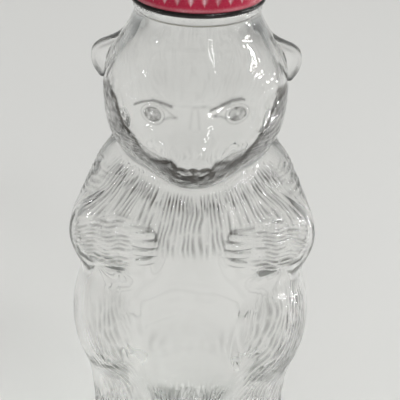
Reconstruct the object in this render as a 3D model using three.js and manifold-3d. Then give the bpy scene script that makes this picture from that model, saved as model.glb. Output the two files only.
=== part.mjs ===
// Clear glass bottle moulded as a sitting bear, with a fluted metal screw cap.
// Millimetres, +Z up. The bear faces -Y and stands on z = 0, the mouth is on the Z axis.

import * as THREE from 'three';
import { mergeVertices } from 'three/addons/utils/BufferGeometryUtils.js';
import Module from 'manifold-3d';

const wasm = await Module();
wasm.setup();

// Glass wall and base
const wallThickness = 3.0;
const baseThickness = 5.0;
const heelRadius = 2.4;
const floorRadius = 3.5;
const bearingWidth = 7.0;
const pushUpDepth = 1.6;

// Bear: heights of its main masses above the base
const headHeight = 145.0;
const handHeight = 98.9;
const elbowHeight = 97.0;
const shoulderHeight = 112.0;
const hipHeight = 58.5;
const kneeHeight = 34.0;

// Threaded mouth of the bottle
const crownHeight = 27.4;
const beadHeight = 2.9;
const beadProud = 1.3;
const collarProud = 0.4;
const finishHeight = 10.6;
const finishRadius = 19.5;
const finishWall = 3.5;
const lipRadius = 0.9;
const threadPitch = 4.233;
const threadDepth = 1.15;
const threadWidth = 1.9;
const threadTurns = 1.25;
const threadStart = 1.9;

// Metal cap
const sheetThickness = 0.3;
const capClearance = 0.25;
const rimGap = 0.35;
const fluteCount = 32;
const fluteDepth = 0.5;
const fluteRunOut = 1.3;
const curlHeight = 1.4;
const curlProud = 0.15;
const bandHeight = 2.4;
const threadOverlap = 0.65;
const threadSlack = 0.5;
const panelStep = 0.35;
const panelCorner = 1.3;
const panelBeadWidth = 2.3;

// Liner under the cap's panel
const boardThickness = 0.85;
const facingThickness = 0.25;
const linerGap = 0.08;
const linerEdgeGap = 0.5;

// Number of facets
const bottleColumns = 60;
const boreColumns = bottleColumns / 2;
const frontCrowding = 0.4;
const ringSpacing = 5.0;
const columnsPerFlute = 4;
const threadStepsPerTurn = 32;
const linerColumns = 48;

// Heights and radii that follow from the sizes above
const boreRadius = finishRadius - finishWall;
const neckRadius = finishRadius + collarProud;
const finishBottom = headHeight + crownHeight;
const beadTop = finishBottom + beadHeight;
const lipTop = beadTop + finishHeight;
const beadRadius = finishRadius + beadProud;
const threadRadius = finishRadius + threadDepth;
const capInnerRadius = threadRadius + capClearance;
const capRadius = capInnerRadius + sheetThickness + fluteDepth;
const capThreadWidth = threadPitch - threadWidth - 2 * threadSlack;
const facingBottom = lipTop + linerGap;
const boardBottom = facingBottom + facingThickness + linerGap;
const panelUnderside = boardBottom + boardThickness + linerGap;
const capTop = panelUnderside + sheetThickness + panelStep;
const rimBottom = beadTop + rimGap;
const linerRadius = capInnerRadius - panelCorner - linerEdgeGap;

// The bear is a set of rounded masses that run into each other. Each has a centre and half sizes
// along X, Y and Z. Masses off the middle are given for the +X side and repeated on the other.
const torso = { centre: [0, 1.5, hipHeight + 19.5], half: [34.5, 34, 60] };
const rump = { centre: [0, 8, 44], half: [33.5, 31.5, 38] };
const belly = { centre: [0, -9, hipHeight + 7.5], half: [29, 28, 36] };
const chest = { centre: [0, -6, shoulderHeight - 11], half: [28, 26.5, 27] };
const underside = { centre: [0, -1, 13], half: [29, 34, 24] };
const thigh = { centre: [24, -6, hipHeight + 5.5], half: [17.2, 27, 26] };
const foot = { centre: [17.8, -20.5, 8.5], half: [14.2, 19.8, 10.5] };
const heel = { centre: [16.5, 10, 9], half: [17, 19, 15] };
const skull = { centre: [0, 0.5, headHeight], half: [30.6, 29.5, 29.5] };
const jaw = { centre: [0, -9, headHeight - 9], half: [26, 25, 13.5] };
const muzzle = { centre: [0, -26.5, headHeight - 12.6], half: [12.5, 14, 10] };
const nose = { centre: [0, muzzle.centre[1] - 11.7, headHeight - 10.4], half: [4.2, 2.6, 2.2] };
const eye = { centre: [13.3, -24.2, headHeight + 1.8], half: [3.3, 2.2, 3.3] };
const ear = { centre: [skull.half[0] - 2, 3, headHeight + 8.2], half: [6, 3.4, 7.2] };

// Limbs taper from one ball to another. A paw is taller than it is thick.
const shin = {
  from: [19.3, -12, kneeHeight], to: [19.3, -15, 12], fromRadius: 14.2, toRadius: 14.2, tallness: 1,
};
const upperArm = {
  from: [20.4, 2, shoulderHeight], to: [29.4, -6.5, elbowHeight - 0.5],
  fromRadius: 11.9, toRadius: 11.7, tallness: 1,
};
const foreArm = {
  from: [28.6, -10.2, elbowHeight + 0.5], to: [22.5, -20.8, handHeight - 1.5],
  fromRadius: 11, toRadius: 7.2, tallness: 1,
};
const paw = {
  from: [22.5, -23, handHeight + 0.4], to: [14.6, -29, handHeight + 2.2],
  fromRadius: 5.4, toRadius: 4.1, tallness: 1.45,
};

// Widths over which two masses are blended
const blend = {
  rump: 14, belly: 10, chest: 10, underside: 6, shin: 11, foot: 4, heel: 8, leg: 5,
  upperArm: 13, paw: 4, elbow: 4, foreArm: 9.6, jaw: 8, muzzle: 9, neck: 6, nose: 1, eye: 0.6, head: 2.6,
};

// Between these distances in front of the Z axis, the elbow's blend widens to the forearm's
const elbowFront = 8;
const foreArmFront = 16;

// Distance to an ellipsoid, near enough close to its surface
function ellipsoidDistance(x, y, z, mass) {
  const dx = x - mass.centre[0];
  const dy = y - mass.centre[1];
  const dz = z - mass.centre[2];
  const [a, b, c] = mass.half;
  const near = Math.hypot(dx / a, dy / b, dz / c);
  const slope = Math.hypot(dx / (a * a), dy / (b * b), dz / (c * c));
  return near * (near - 1) / Math.max(slope, 1e-9);
}

// Distance to a cone with a ball at each end
function limbDistance(x, y, z, limb) {
  const axis = new THREE.Vector3(...limb.to).sub(new THREE.Vector3(...limb.from));
  const offset = new THREE.Vector3(x - limb.from[0], y - limb.from[1], z - limb.from[2]);
  axis.z /= limb.tallness;
  offset.z /= limb.tallness;
  const lengthSquared = axis.lengthSq();
  const taper = limb.fromRadius - limb.toRadius;
  const coneSquared = lengthSquared - taper * taper;
  const along = offset.dot(axis);
  const past = along - lengthSquared;
  const side = offset.clone().multiplyScalar(lengthSquared).addScaledVector(axis, -along).lengthSq();
  const alongSquared = along * along * lengthSquared;
  const pastSquared = past * past * lengthSquared;
  const turn = Math.sign(taper) * taper * taper * side;
  if (Math.sign(past) * coneSquared * pastSquared > turn) {
    return Math.sqrt(side + pastSquared) / lengthSquared - limb.toRadius;
  }
  if (Math.sign(along) * coneSquared * alongSquared < turn) {
    return Math.sqrt(side + alongSquared) / lengthSquared - limb.fromRadius;
  }
  return (Math.sqrt(side * coneSquared / lengthSquared) + along * taper) / lengthSquared - limb.fromRadius;
}

function smoothUnion(first, second, width) {
  const overlap = Math.max(width - Math.abs(first - second), 0) / width;
  return Math.min(first, second) - overlap * overlap * width / 4;
}

// Distance to the whole bear, without its ears. The inside of the glass has no paws, eyes or nose.
function bearDistance(xSigned, y, z, isInside) {
  const x = Math.abs(xSigned);
  let body = smoothUnion(ellipsoidDistance(x, y, z, torso), ellipsoidDistance(x, y, z, rump), blend.rump);
  body = smoothUnion(body, ellipsoidDistance(x, y, z, belly), blend.belly);
  body = smoothUnion(body, ellipsoidDistance(x, y, z, chest), blend.chest);
  body = smoothUnion(body, ellipsoidDistance(x, y, z, underside), blend.underside);
  let leg = smoothUnion(ellipsoidDistance(x, y, z, thigh), limbDistance(x, y, z, shin), blend.shin);
  leg = smoothUnion(leg, ellipsoidDistance(x, y, z, foot), blend.foot);
  leg = smoothUnion(leg, ellipsoidDistance(x, y, z, heel), blend.heel);
  body = smoothUnion(body, leg, blend.leg);
  body = smoothUnion(body, limbDistance(x, y, z, upperArm), blend.upperArm);
  let arm = limbDistance(x, y, z, foreArm);
  if (!isInside) {
    arm = smoothUnion(arm, limbDistance(x, y, z, paw), blend.paw);
  }
  const frontShare = THREE.MathUtils.smoothstep(-y, elbowFront, foreArmFront);
  body = smoothUnion(body, arm, THREE.MathUtils.lerp(blend.elbow, blend.foreArm, frontShare));
  let head = smoothUnion(ellipsoidDistance(x, y, z, skull), ellipsoidDistance(x, y, z, jaw), blend.jaw);
  head = smoothUnion(head, ellipsoidDistance(x, y, z, muzzle), blend.muzzle);
  const neck = Math.max(Math.hypot(x, y) - neckRadius, skull.centre[2] - z);
  head = smoothUnion(head, neck, blend.neck);
  if (!isInside) {
    head = smoothUnion(head, ellipsoidDistance(x, y, z, nose), blend.nose);
    head = smoothUnion(head, ellipsoidDistance(x, y, z, eye), blend.eye);
  }
  return smoothUnion(body, head, blend.head);
}

// How far the surface lies from the Z axis in one direction, found by walking in from outside
function surfaceRadius(angle, z, depth) {
  const startRadius = 70;
  const stepCount = 90;
  const stepShare = 0.8;
  const closeEnough = 0.002;
  const dirX = Math.cos(angle);
  const dirY = Math.sin(angle);
  let radius = startRadius;
  for (let step = 0; step < stepCount; step += 1) {
    const gap = bearDistance(radius * dirX, radius * dirY, z, depth > 0) + depth;
    if (gap < closeEnough) {
      break;
    }
    radius = Math.max(radius - gap * stepShare, 1);
  }
  return radius;
}

// Angles round the Z axis, closer together at the bear's front
function crowdedAngles(count) {
  const angles = [];
  const halfCount = count / 2;
  for (let i = 0; i < count; i += 1) {
    const side = i < halfCount ? i / halfCount : 2 - i / halfCount;
    const turn = Math.PI * side - frontCrowding * Math.sin(Math.PI * side);
    angles.push(-Math.PI / 2 + (i < halfCount ? turn : 2 * Math.PI - turn));
  }
  return angles;
}

// Angles all the same distance apart
function evenAngles(count) {
  return Array.from({ length: count }, (unused, i) => i * 2 * Math.PI / count);
}

// Skin over a stack of rings, each a list of points counted the same way round. Neighbouring rings have
// equally many points or one has half as many. A ring of one point closes an end.
function skin(rings) {
  const positions = [];
  const starts = [];
  for (const ring of rings) {
    starts.push(positions.length / 3);
    for (const point of ring) {
      positions.push(...point);
    }
  }
  const index = [];
  for (let k = 0; k + 1 < rings.length; k += 1) {
    const low = starts[k];
    const high = starts[k + 1];
    const lowCount = rings[k].length;
    const highCount = rings[k + 1].length;
    const most = Math.max(lowCount, highCount);
    for (let i = 0; i < most; i += 1) {
      const next = i + 1;
      const lowHere = low + Math.floor(i * lowCount / most) % lowCount;
      const lowNext = low + Math.floor(next * lowCount / most) % lowCount;
      const highHere = high + Math.floor(i * highCount / most) % highCount;
      const highNext = high + Math.floor(next * highCount / most) % highCount;
      if (lowHere !== lowNext) {
        index.push(lowHere, lowNext, highNext);
      }
      if (highHere !== highNext) {
        index.push(lowHere, highNext, highHere);
      }
    }
  }
  const geometry = new THREE.BufferGeometry();
  geometry.setAttribute('position', new THREE.Float32BufferAttribute(positions, 3));
  geometry.setIndex(index);
  return geometry;
}

function roundRing(angles, radius, z) {
  return angles.map((angle) => [radius * Math.cos(angle), radius * Math.sin(angle), z]);
}

function toManifold(geometry) {
  const bare = geometry.clone();
  bare.deleteAttribute('normal');
  bare.deleteAttribute('uv');
  const merged = mergeVertices(bare, 1e-5);
  return new wasm.Manifold(new wasm.Mesh({
    numProp: 3,
    vertProperties: new Float32Array(merged.attributes.position.array),
    triVerts: new Uint32Array(merged.index.array),
  }));
}

function fromManifold(solid) {
  const mesh = solid.getMesh();
  const geometry = new THREE.BufferGeometry();
  geometry.setAttribute('position', new THREE.Float32BufferAttribute(mesh.vertProperties, 3));
  geometry.setIndex(Array.from(mesh.triVerts));
  return geometry;
}

// Ridge that climbs round the Z axis and fades out at both ends
function threadRidge(rootRadius, tipRadius, width, startZ, startAngle, turns) {
  const steps = Math.ceil(turns * threadStepsPerTurn);
  const fadeShare = 0.12;
  const endShare = 0.3;
  const tipShare = 0.45;
  const positions = [];
  const index = [];
  for (let step = 0; step <= steps; step += 1) {
    const share = step / steps;
    const angle = startAngle + share * turns * 2 * Math.PI;
    const z = startZ + share * turns * threadPitch;
    const fade = Math.min(1, endShare + (1 - endShare) * Math.min(share, 1 - share) / fadeShare);
    const tip = rootRadius + (tipRadius - rootRadius) * fade;
    const corners = [
      [rootRadius, z - width / 2],
      [tip, z - width * tipShare / 2],
      [tip, z + width * tipShare / 2],
      [rootRadius, z + width / 2],
    ];
    for (const [radius, height] of corners) {
      positions.push(radius * Math.cos(angle), radius * Math.sin(angle), height);
    }
  }
  const outward = tipRadius > rootRadius;
  const addQuad = (a, b, c, d) => {
    if (outward) {
      index.push(a, b, c, a, c, d);
    } else {
      index.push(a, c, b, a, d, c);
    }
  };
  for (let step = 0; step < steps; step += 1) {
    for (let corner = 0; corner < 4; corner += 1) {
      const here = step * 4 + corner;
      const across = step * 4 + (corner + 1) % 4;
      addQuad(here, here + 4, across + 4, across);
    }
  }
  const last = steps * 4;
  addQuad(0, 1, 2, 3);
  addQuad(last + 3, last + 2, last + 1, last);
  const geometry = new THREE.BufferGeometry();
  geometry.setAttribute('position', new THREE.Float32BufferAttribute(positions, 3));
  geometry.setIndex(index);
  return geometry;
}

// Ring round the glass at one height, drawn in towards the axis by an inset
function glassRing(angles, z, depth, inset) {
  return angles.map((angle) => {
    const radius = surfaceRadius(angle, z, depth) - inset;
    return [radius * Math.cos(angle), radius * Math.sin(angle), z];
  });
}

// How far a rounded edge is drawn in at a height above its foot
function edgeInset(height, edgeRadius) {
  const drop = Math.max(1 - height / edgeRadius, 0);
  return edgeRadius * (1 - Math.sqrt(1 - drop * drop));
}

// Heights from one level to another, with twice as many across the hands and the face
function ringHeights(from, to) {
  const crowded = [
    [paw.from[2] - paw.fromRadius * paw.tallness, paw.to[2] + paw.toRadius * paw.tallness],
    [muzzle.centre[2] - muzzle.half[2], eye.centre[2] + eye.half[2]],
  ];
  const count = Math.ceil((to - from) / ringSpacing);
  const step = (to - from) / count;
  const heights = [];
  for (let i = 0; i < count; i += 1) {
    const height = from + i * step;
    const middle = height + step / 2;
    heights.push(height);
    if (crowded.some(([low, high]) => middle > low && middle < high)) {
      heights.push(middle);
    }
  }
  return heights;
}

// Glass bottle: base, bear, mouth, bore and inside as one closed skin, then ears and thread are joined on.
function bottleGeometry() {
  const angles = crowdedAngles(bottleColumns);
  const boreAngles = crowdedAngles(boreColumns);
  const collarBottom = finishBottom - 0.4;
  const crownZ = collarBottom - 2;

  const baseRadius = Math.min(...angles.map((angle) => surfaceRadius(angle, 0, 0)));
  const pushUpRadius = baseRadius - heelRadius - bearingWidth;
  const rings = [
    [[0, 0, pushUpDepth]],
    roundRing(boreAngles, pushUpRadius * 0.55, pushUpDepth * 0.9),
    roundRing(angles, pushUpRadius * 0.9, pushUpDepth * 0.45),
    roundRing(angles, pushUpRadius, 0),
    glassRing(angles, 0, 0, heelRadius),
    glassRing(angles, heelRadius * 0.3, 0, edgeInset(heelRadius * 0.3, heelRadius)),
  ];
  for (const height of ringHeights(heelRadius, crownZ)) {
    rings.push(glassRing(angles, height, 0, 0));
  }
  rings.push(glassRing(angles, crownZ, 0, 0));

  const beadRound = beadHeight * 0.12;
  const mouthProfile = [
    [neckRadius, collarBottom],
    [neckRadius, finishBottom],
    [beadRadius - beadRound, finishBottom + beadRound],
    [beadRadius, finishBottom + 3 * beadRound],
    [beadRadius, beadTop - 3 * beadRound],
    [beadRadius - beadRound, beadTop - beadRound],
    [finishRadius + beadRound, beadTop],
    [finishRadius, beadTop + beadRound],
    [finishRadius, lipTop - lipRadius],
    [finishRadius - 0.3 * lipRadius, lipTop - 0.3 * lipRadius],
    [finishRadius - lipRadius, lipTop],
  ];
  for (const [radius, z] of mouthProfile) {
    rings.push(roundRing(angles, radius, z));
  }
  rings.push(roundRing(boreAngles, boreRadius + lipRadius, lipTop));
  rings.push(roundRing(boreAngles, boreRadius, lipTop - lipRadius));
  rings.push(roundRing(boreAngles, boreRadius, finishBottom));

  const insideTop = finishBottom - 2 * wallThickness;
  const insideStep = 1.6 * ringSpacing;
  const floorTop = baseThickness + floorRadius;
  const insideCount = Math.ceil((insideTop - floorTop) / insideStep);
  for (let i = 0; i <= insideCount; i += 1) {
    const height = insideTop + (floorTop - insideTop) * i / insideCount;
    rings.push(glassRing(boreAngles, height, wallThickness, 0));
  }
  for (const share of [0.3, 0]) {
    const inset = edgeInset(floorRadius * share, floorRadius);
    rings.push(glassRing(boreAngles, baseThickness + floorRadius * share, wallThickness, inset));
  }
  rings.push(roundRing(boreAngles, pushUpRadius * 0.55, baseThickness + pushUpDepth * 0.4));
  rings.push([[0, 0, baseThickness + pushUpDepth * 0.5]]);

  let solid = toManifold(skin(rings));
  for (const side of [-1, 1]) {
    const earShape = new THREE.SphereGeometry(1, 20, 14);
    earShape.scale(...ear.half);
    earShape.translate(side * ear.centre[0], ear.centre[1], ear.centre[2]);
    solid = solid.add(toManifold(earShape));
  }
  const rootRadius = finishRadius - 0.5;
  const ridge = threadRidge(rootRadius, threadRadius, threadWidth, beadTop + threadStart, 0, threadTurns);
  solid = solid.add(toManifold(ridge));
  return fromManifold(solid);
}

// Metal cap: rolled edge, plain band, flutes, panel, then the inside. The thread is joined to its inside.
function capGeometry() {
  const angles = evenAngles(fluteCount * columnsPerFlute);
  const plainAngles = evenAngles(fluteCount * columnsPerFlute / 2);
  const ring = (radius, z, fluteShare) => angles.map((angle) => {
    const dip = fluteDepth * fluteShare * (0.5 - 0.5 * Math.cos(fluteCount * angle));
    return [(radius - dip) * Math.cos(angle), (radius - dip) * Math.sin(angle), z];
  });
  const curlRadius = capRadius + curlProud;
  const curlTop = rimBottom + curlHeight;
  const bandTop = curlTop + bandHeight;
  const bandDip = 0.1;
  const panelRadius = capInnerRadius - panelCorner - panelBeadWidth;
  const rings = [
    ring(capInnerRadius + sheetThickness, rimBottom, 0),
    ring(curlRadius - 0.2 * curlHeight, rimBottom + 0.1 * curlHeight, 0),
    ring(curlRadius, rimBottom + 0.35 * curlHeight, 0),
    ring(curlRadius, rimBottom + 0.65 * curlHeight, 0),
    ring(curlRadius - 0.2 * curlHeight, curlTop, 0),
    ring(capRadius - bandDip, curlTop + 0.15 * bandHeight, 0),
    ring(capRadius, curlTop + 0.5 * bandHeight, 0),
    ring(capRadius - bandDip, curlTop + 0.85 * bandHeight, 0),
    ring(capRadius, bandTop + fluteRunOut, 1),
    ring(capRadius, capTop - 1.6 * panelCorner, 1),
    ring(capRadius - 0.25 * panelCorner, capTop - 0.75 * panelCorner, 0.6),
    ring(capRadius - 0.7 * panelCorner, capTop - 0.2 * panelCorner, 0),
    roundRing(plainAngles, capRadius - 1.25 * panelCorner, capTop),
    roundRing(plainAngles, panelRadius + 2 * panelStep, capTop),
    roundRing(plainAngles, panelRadius, capTop - panelStep),
    [[0, 0, capTop - panelStep]],
  ];
  const insideRings = [
    [[0, 0, panelUnderside]],
    roundRing(plainAngles, capInnerRadius - panelCorner, panelUnderside),
    roundRing(plainAngles, capInnerRadius - 0.4 * panelCorner, panelUnderside - 0.25 * panelCorner),
    roundRing(plainAngles, capInnerRadius, panelUnderside - 0.8 * panelCorner),
    roundRing(plainAngles, capInnerRadius, rimBottom + 0.3 * curlHeight),
    ring(capInnerRadius + sheetThickness, rimBottom, 0),
  ];
  const outside = skin(rings);
  const inside = skin(insideRings);
  const shell = new THREE.BufferGeometry();
  const outsideCount = outside.attributes.position.count;
  const positions = [...outside.attributes.position.array, ...inside.attributes.position.array];
  const index = [...outside.index.array, ...Array.from(inside.index.array, (i) => i + outsideCount)];
  shell.setAttribute('position', new THREE.Float32BufferAttribute(positions, 3));
  shell.setIndex(index);

  const halfTurn = Math.PI;
  const startZ = beadTop + threadStart;
  const rootRadius = capInnerRadius + 0.4 * sheetThickness;
  const tipRadius = threadRadius - threadOverlap;
  const ridge = threadRidge(rootRadius, tipRadius, capThreadWidth, startZ, halfTurn, 1);
  return fromManifold(toManifold(shell).add(toManifold(ridge)));
}

// Flat round disc of the liner
function discGeometry(radius, bottom, thickness) {
  const disc = new THREE.CylinderGeometry(radius, radius, thickness, linerColumns);
  disc.rotateX(Math.PI / 2);
  disc.translate(0, 0, bottom + thickness / 2);
  disc.deleteAttribute('normal');
  disc.deleteAttribute('uv');
  return mergeVertices(disc, 1e-5);
}

const group = new THREE.Group();
group.name = 'glass_bear_bottle';

function addPiece(name, geometry, colour, roughness, metalness) {
  geometry.computeVertexNormals();
  const material = new THREE.MeshStandardMaterial({ color: colour, roughness, metalness });
  const mesh = new THREE.Mesh(geometry, material);
  mesh.name = name;
  group.add(mesh);
}

addPiece('glass_bottle', bottleGeometry(), 0xdfe6e2, 0.05, 0);
addPiece('cap_shell', capGeometry(), 0x8c1730, 0.3, 0.4);
addPiece('liner_board', discGeometry(linerRadius, boardBottom, boardThickness), 0xc9b48c, 0.9, 0);
addPiece('liner_facing', discGeometry(linerRadius, facingBottom, facingThickness), 0xe9e4d6, 0.6, 0);

export default group;
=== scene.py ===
import math

import bpy
import numpy as np
from mathutils import Matrix, Vector


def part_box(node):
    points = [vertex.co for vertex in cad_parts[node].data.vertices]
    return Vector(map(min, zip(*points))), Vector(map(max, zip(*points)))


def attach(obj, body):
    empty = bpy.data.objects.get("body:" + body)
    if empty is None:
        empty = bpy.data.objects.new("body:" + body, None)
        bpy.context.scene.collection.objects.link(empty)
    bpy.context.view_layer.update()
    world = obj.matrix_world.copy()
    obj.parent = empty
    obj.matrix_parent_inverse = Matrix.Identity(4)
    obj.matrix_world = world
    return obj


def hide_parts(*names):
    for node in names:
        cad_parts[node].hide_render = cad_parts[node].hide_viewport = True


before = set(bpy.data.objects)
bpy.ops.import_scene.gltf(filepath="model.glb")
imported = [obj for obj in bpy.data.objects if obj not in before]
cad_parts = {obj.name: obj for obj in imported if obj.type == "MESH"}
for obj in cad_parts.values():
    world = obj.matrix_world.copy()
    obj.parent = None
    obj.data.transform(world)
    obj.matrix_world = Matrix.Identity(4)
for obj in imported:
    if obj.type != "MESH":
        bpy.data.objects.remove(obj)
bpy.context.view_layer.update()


# Glass bottle: one piece of clear glass, blown in an iron mould that is cut as a sitting bear. The mould's
# carving gives fur, face and paws on the outside, and the inside is the smooth skin of the blown bubble.
# The threaded mouth is moulded with it, and a fine seam shows where the mould's two halves met.

MM = 0.001

wall_thickness = 3.0
base_thickness = 5.0
heel_radius = 2.4
floor_radius = 3.5
bearing_width = 7.0
push_up_depth = 1.6
lip_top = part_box("glass_bottle")[1].z / MM
finish_height = 10.6
bead_height = 2.9
bead_top = lip_top - finish_height
finish_bottom = bead_top - bead_height
finish_radius = 19.5
bead_radius = finish_radius + 1.3
neck_radius = finish_radius + 0.4
bore_radius = finish_radius - 3.5
lip_radius = 0.9
thread_pitch = 4.233
thread_depth = 1.15
thread_width = 1.9
thread_turns = 1.25
thread_start = bead_top + 1.9

head_height = finish_bottom - 27.4
hand_height = 98.9
elbow_height = 97.0
shoulder_height = 112.0
hip_height = 58.5
knee_height = 34.0

# Rounded masses of the bear on its +X side: a centre and half sizes, in millimetres
torso = ((0, 1.5, hip_height + 19.5), (34.5, 34, 60))
rump = ((0, 8, 44), (33.5, 31.5, 38))
belly = ((0, -9, hip_height + 7.5), (29, 28, 36))
chest = ((0, -6, shoulder_height - 11), (28, 26.5, 27))
underside = ((0, -1, 13), (29, 34, 24))
thigh = ((24, -6, hip_height + 5.5), (17.2, 27, 26))
foot = ((17.8, -20.5, 8.5), (14.2, 19.8, 10.5))
heel = ((16.5, 10, 9), (17, 19, 15))
skull = ((0, 0.5, head_height), (30.6, 29.5, 29.5))
jaw = ((0, -9, head_height - 9), (26, 25, 13.5))
muzzle = ((0, -26.5, head_height - 12.6), (12.5, 14, 10))
nose_pad = ((0, -37.2, head_height - 10.6), (5.4, 3.2, 2.3))
nose_wing = ((3.5, -36.4, head_height - 13.0), (2.3, 3.0, 1.7))

# Limbs: where each starts and ends, its radius at both ends, and how much taller than thick it is
shin = ((19.3, -12, knee_height), (19.3, -15, 12), 14.2, 14.2, 1)
upper_arm = ((20.4, 2, shoulder_height), (29.4, -6.5, elbow_height - 0.5), 11.9, 11.7, 1)
fore_arm = ((28.6, -10.2, elbow_height + 0.5), (22.5, -20.8, hand_height - 1.5), 11, 7.2, 1)
paw = ((22.5, -22.6, hand_height + 0.4), (14.6, -28.2, hand_height + 2.2), 5.2, 3.7, 1.5)

# How wide the soft hollows are where masses meet; elbows and throat have only a tight crease
hollow = {
    "rump": 14,
    "belly": 10,
    "chest": 10,
    "underside": 6,
    "shin": 11,
    "foot": 4,
    "heel": 8,
    "leg": 5,
    "upper_arm": 13,
    "paw": 4,
    "jaw": 8,
    "muzzle": 9,
    "neck": 6,
    "nose": 0.8,
}
crease = 2.6

# The glass is thinner in the arms, where the bubble was blown out furthest
arm_thinning = 1.3


def ellipsoid(x, y, z, centre, half):
    """Distance to an ellipsoid, near enough close to its surface."""
    dx, dy, dz = x - centre[0], y - centre[1], z - centre[2]
    a, b, c = half
    near = np.sqrt((dx / a) ** 2 + (dy / b) ** 2 + (dz / c) ** 2)
    slope = np.sqrt((dx / a**2) ** 2 + (dy / b**2) ** 2 + (dz / c**2) ** 2)
    return near * (near - 1) / np.maximum(slope, 1e-9)


def limb(x, y, z, start, end, start_radius, end_radius, tallness):
    """Distance to a round cone with a ball at each end."""
    ax, ay, az = end[0] - start[0], end[1] - start[1], (end[2] - start[2]) / tallness
    dx, dy, dz = x - start[0], y - start[1], (z - start[2]) / tallness
    length2 = ax * ax + ay * ay + az * az
    taper = start_radius - end_radius
    cone2 = length2 - taper * taper
    along = dx * ax + dy * ay + dz * az
    past = along - length2
    side = sum((d * length2 - a * along) ** 2 for d, a in ((dx, ax), (dy, ay), (dz, az)))
    turn = np.sign(taper) * taper * taper * side
    beyond = np.sign(past) * cone2 * past**2 * length2 > turn
    before = np.sign(along) * cone2 * along**2 * length2 < turn
    middle = (np.sqrt(side * cone2 / length2) + along * taper) / length2 - start_radius
    far_ball = np.sqrt(side + past**2 * length2) / length2 - end_radius
    near_ball = np.sqrt(side + along**2 * length2) / length2 - start_radius
    return np.where(beyond, far_ball, np.where(before, near_ball, middle))


def swollen(part, extra):
    """A limb with its radii enlarged."""
    start, end, start_radius, end_radius, tallness = part
    return start, end, start_radius + extra, end_radius + extra, tallness


def melt(first, second, width):
    """Joins two masses with a soft hollow of a given width between them."""
    overlap = np.maximum(width - np.abs(first - second), 0) / width
    return np.minimum(first, second) - overlap**2 * width / 4


def bear_masses(signed_x, y, z, outside):
    """Distances to the bear's trunk, legs, body, arms and head; the inside has no paws and no nose."""
    x = np.abs(signed_x)
    thinning = 0 if outside else arm_thinning
    trunk = melt(ellipsoid(x, y, z, *torso), ellipsoid(x, y, z, *rump), hollow["rump"])
    trunk = melt(trunk, ellipsoid(x, y, z, *belly), hollow["belly"])
    trunk = melt(trunk, ellipsoid(x, y, z, *chest), hollow["chest"])
    trunk = melt(trunk, ellipsoid(x, y, z, *underside), hollow["underside"])
    leg = melt(ellipsoid(x, y, z, *thigh), limb(x, y, z, *shin), hollow["shin"])
    leg = melt(leg, ellipsoid(x, y, z, *foot), hollow["foot"])
    leg = melt(leg, ellipsoid(x, y, z, *heel), hollow["heel"])
    body = melt(trunk, leg, hollow["leg"])
    body = melt(body, limb(x, y, z, *swollen(upper_arm, thinning)), hollow["upper_arm"])
    arm = limb(x, y, z, *swollen(fore_arm, thinning))
    head = melt(ellipsoid(x, y, z, *skull), ellipsoid(x, y, z, *jaw), hollow["jaw"])
    head = melt(head, ellipsoid(x, y, z, *muzzle), hollow["muzzle"])
    neck = np.maximum(np.hypot(x, y) - neck_radius, skull[0][2] - z)
    head = melt(head, neck, hollow["neck"])
    if outside:
        arm = melt(arm, limb(x, y, z, *paw), hollow["paw"])
        nose = melt(ellipsoid(x, y, z, *nose_pad), ellipsoid(x, y, z, *nose_wing), hollow["nose"])
        head = melt(head, nose, hollow["nose"])
    return trunk, leg, body, arm, head


def ramp(value, low, high):
    """A smooth rise from 0 at low to 1 at high."""
    share = np.clip((value - low) / (high - low), 0, 1)
    return share * share * (3 - 2 * share)


def bear_distance(x, y, z, outside):
    """Distance to the whole bear, without its ears."""
    trunk, leg, body, arm, head = bear_masses(x, y, z, outside)
    arm_softness = crease + 7 * ramp(-y, 8, 16)
    nape_softness = crease + 9 * ramp(y, -4, 12)
    return melt(melt(body, arm, arm_softness), head, nape_softness)


def walk_in(angle, z, radius, depth, steps):
    """Walks from a radius outside the bear towards the axis until it lies at a depth in the surface."""
    dir_x, dir_y = np.cos(angle), np.sin(angle)
    for _ in range(steps):
        gap = bear_distance(radius * dir_x, radius * dir_y, z, depth == 0) + depth
        radius = np.maximum(radius - 0.8 * np.where(gap > 0.002, gap, 0), 1)
    return radius


def bear_rows(heights_here, angles_here, depth):
    """Radius of the surface at each height and angle: first on a coarse grid, then refined."""
    coarse_angles = np.linspace(-math.pi / 2, math.pi / 2, 91)
    coarse_heights = np.linspace(heights_here.min(), heights_here.max(), 120)
    grid_angle, grid_z = np.meshgrid(coarse_angles, coarse_heights)
    far_out = 60.0
    coarse = walk_in(grid_angle, grid_z, np.full(grid_angle.shape, far_out), depth, 40)
    by_angle = np.stack([np.interp(angles_here, coarse_angles, row) for row in coarse])
    place = np.interp(heights_here, coarse_heights, np.arange(len(coarse_heights)))
    low = np.minimum(place.astype(int), len(coarse_heights) - 2)
    start = np.maximum(by_angle[low], by_angle[low + 1]) + 0.5
    grid_angle, grid_z = np.meshgrid(angles_here, heights_here)
    return walk_in(grid_angle, grid_z, start, depth, 14)


def spread(low, high, count, crowding):
    """Values from low to high, closer together where crowding(value) is larger."""
    fine = np.linspace(low, high, 4001)
    total = np.concatenate([[0], np.cumsum(crowding((fine[1:] + fine[:-1]) / 2))])
    return np.interp(np.linspace(0, total[-1], count), total, fine)


def hill(value, centre, width):
    return np.exp(-(((value - centre) / width) ** 2))


def both_sides(half_rows):
    """Rows for the +X half, from the front round to the back, mirrored into whole rings."""
    return np.concatenate([half_rows, half_rows[:, -2:0:-1]], axis=1)


def edge_inset(height, edge_radius):
    """How far a rounded lower edge is drawn in at a height."""
    drop = np.clip(1 - height / edge_radius, 0, 1)
    return edge_radius * (1 - np.sqrt(1 - drop**2))


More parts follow.
